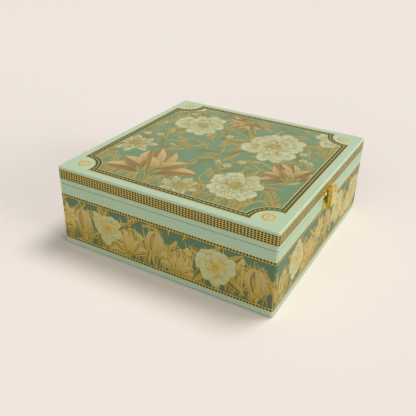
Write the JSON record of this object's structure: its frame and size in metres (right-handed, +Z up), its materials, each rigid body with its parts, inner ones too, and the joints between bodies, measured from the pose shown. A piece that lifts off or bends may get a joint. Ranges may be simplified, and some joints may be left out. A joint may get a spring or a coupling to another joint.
{
  "type": "sweet box",
  "caption": "Square hinged gift box for sweets: wrapped fibreboard base with inner dividers, a shallow flush lid, stop hinges behind and a flap clasp in front.",
  "frame": {"origin": "middle of the face that the box stands on", "axes": "+Z up, -Y is the front with the clasp, +Y is the back with the hinges, +X to the right"},
  "size_m": [0.2032, 0.2148, 0.0762],
  "materials": {
    "printed_paper": "satin laminated",
    "lining_paper": "matte",
    "underside_paper": "matte",
    "fibreboard": "sanded",
    "gold_metal": "polished plated"
  },
  "bodies": {
    "base": {"base_bottom_sheet": "underside_paper", "base_floor_board": "fibreboard", "base_front_wall": "fibreboard", "base_back_wall": "fibreboard", "base_left_wall": "fibreboard", "base_right_wall": "fibreboard", "base_wrap": "printed_paper", "base_floor_lining": "lining_paper", "base_wall_lining": "lining_paper", "divider_across_1": "lining_paper", "divider_across_2": "lining_paper", "divider_along_1": "lining_paper", "divider_along_2": "lining_paper", "left_hinge_base_leaf": "gold_metal", "right_hinge_base_leaf": "gold_metal", "left_hinge_pin": "gold_metal", "right_hinge_pin": "gold_metal", "hinge_base_screws": "gold_metal", "clasp_base_plate": "gold_metal", "clasp_base_rivets": "gold_metal"},
    "lid": {"lid_top_board": "fibreboard", "lid_front_rim": "fibreboard", "lid_back_rim": "fibreboard", "lid_left_rim": "fibreboard", "lid_right_rim": "fibreboard", "lid_wrap": "printed_paper", "lid_lining": "lining_paper", "left_hinge_lid_leaf": "gold_metal", "right_hinge_lid_leaf": "gold_metal", "hinge_lid_screws": "gold_metal", "clasp_lid_plate": "gold_metal", "clasp_lid_rivets": "gold_metal"},
    "clasp_flap": {"clasp_flap": "gold_metal", "clasp_pin": "gold_metal"}
  },
  "joints": [
    {"name": "lid_hinge", "type": "hinge", "parent": "base", "child": "lid", "pos_m": [0, 0.1034, 0.0604], "axis": [-1, 0, 0], "range_deg": [0, 105]},
    {"name": "clasp_flap_hinge", "type": "hinge", "parent": "lid", "child": "clasp_flap", "pos_m": [0, -0.1062, 0.0667], "axis": [-1, 0, 0], "range_deg": [0, 165]}
  ]
}
